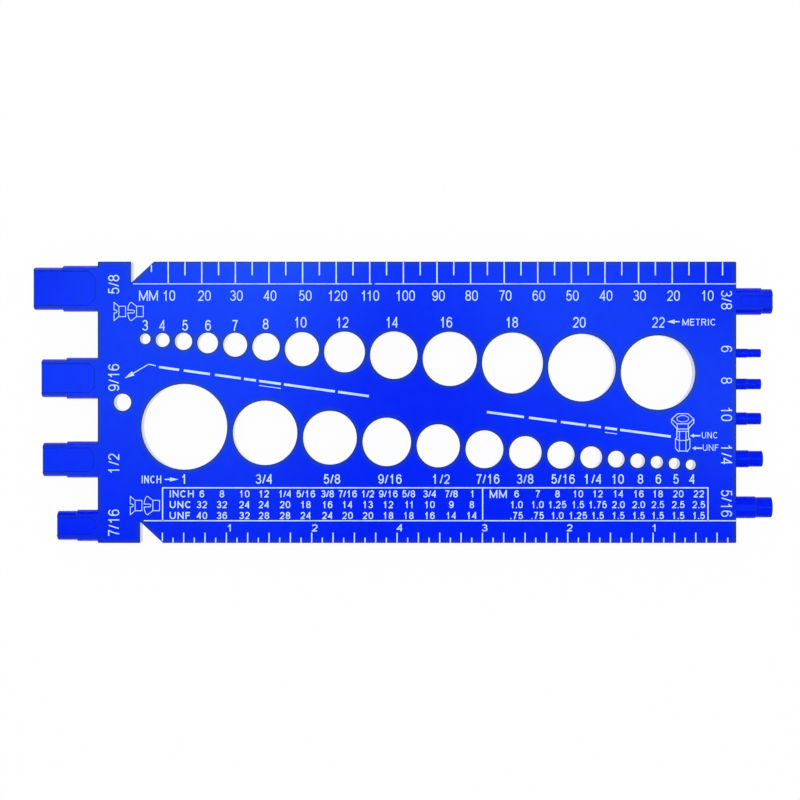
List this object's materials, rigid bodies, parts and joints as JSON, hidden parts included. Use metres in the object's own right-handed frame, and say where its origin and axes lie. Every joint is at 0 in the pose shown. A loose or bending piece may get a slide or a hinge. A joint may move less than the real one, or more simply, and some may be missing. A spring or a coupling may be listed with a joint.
{
  "type": "thread checker",
  "caption": "Flat moulded gauge plate with graded bolt holes, stepped nut posts on both ends, screw-head seats and ruled edges.",
  "frame": {"origin": "centre of the overall box, on the plain back face", "axes": "+X towards the small posts, +Y towards the millimetre edge, +Z out of the printed face"},
  "size_m": [0.2202, 0.0838, 0.0063],
  "materials": {
    "moulded_plastic": "satin blue moulded plastic",
    "white_ink": "thin white printed ink"
  },
  "bodies": {
    "root": {"gauge_plate": "moulded_plastic"}
  },
  "joints": []
}
